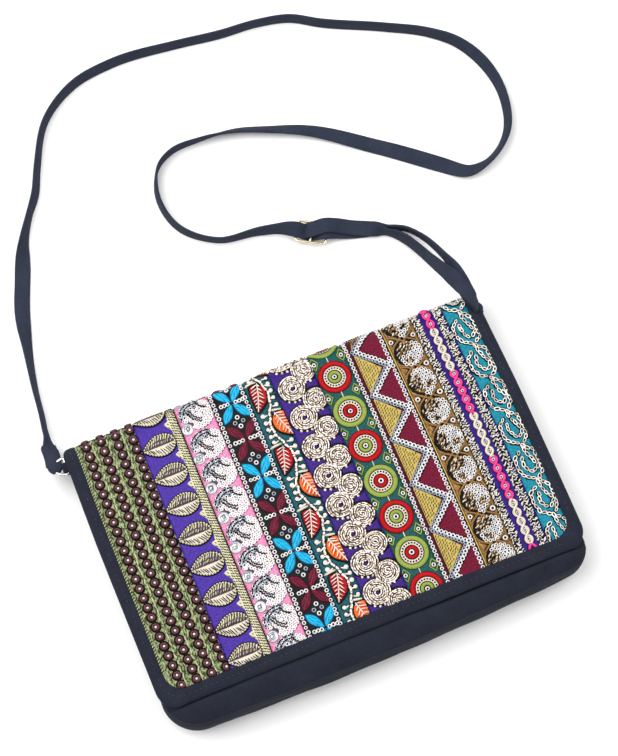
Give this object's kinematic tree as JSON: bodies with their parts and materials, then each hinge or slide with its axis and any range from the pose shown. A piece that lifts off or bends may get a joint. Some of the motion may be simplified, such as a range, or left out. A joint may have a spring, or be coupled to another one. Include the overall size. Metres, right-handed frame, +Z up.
{
  "type": "clutch bag",
  "caption": "Soft flap clutch bag of black cloth, its flap covered with strips of embroidered, sequinned and beaded trim, with a long adjustable strap held by end rings.",
  "frame": {"origin": "middle of the bag's outline on the surface it lies on, the strap left out", "axes": "+X along the fold to the right ring, +Y from the free edge to the fold, +Z up out of the flap"},
  "size_m": [0.3644, 0.4298, 0.0406],
  "materials": {
    "bag_cloth": "woven matte",
    "binding_cloth": "woven matte",
    "olive_brocade": "brocade",
    "violet_satin": "satin",
    "pink_satin": "satin",
    "black_satin": "satin",
    "teal_satin": "satin",
    "purple_satin": "satin",
    "sea_green_satin": "satin",
    "cream_ribbon": "satin",
    "tan_satin": "satin",
    "deep_purple_satin": "satin",
    "turquoise_satin": "satin",
    "strap_webbing": "woven matte",
    "ring_steel": "polished",
    "slider_metal": "polished pale gold"
  },
  "bodies": {
    "root": {"back_panel": "bag_cloth", "front_panel": "bag_cloth", "gusset": "bag_cloth", "flap": "bag_cloth", "flap_binding": "binding_cloth", "trim_bead_brocade": "olive_brocade", "trim_leaf_violet": "violet_satin", "trim_disc_pink": "pink_satin", "trim_flower_black": "black_satin", "trim_vine_teal": "teal_satin", "trim_rosette_purple": "purple_satin", "trim_roundel_teal": "sea_green_satin", "trim_triangle_sequin": "cream_ribbon", "trim_cluster_tan": "tan_satin", "trim_diamond_purple": "deep_purple_satin", "trim_scroll_turquoise": "turquoise_satin", "ring_left": "ring_steel", "ring_tab_left": "bag_cloth", "strap_loop_left": "strap_webbing", "ring_right": "ring_steel", "ring_tab_right": "bag_cloth", "strap_loop_right": "strap_webbing", "strap": "strap_webbing", "strap_return": "strap_webbing", "strap_slider": "slider_metal"}
  },
  "joints": []
}
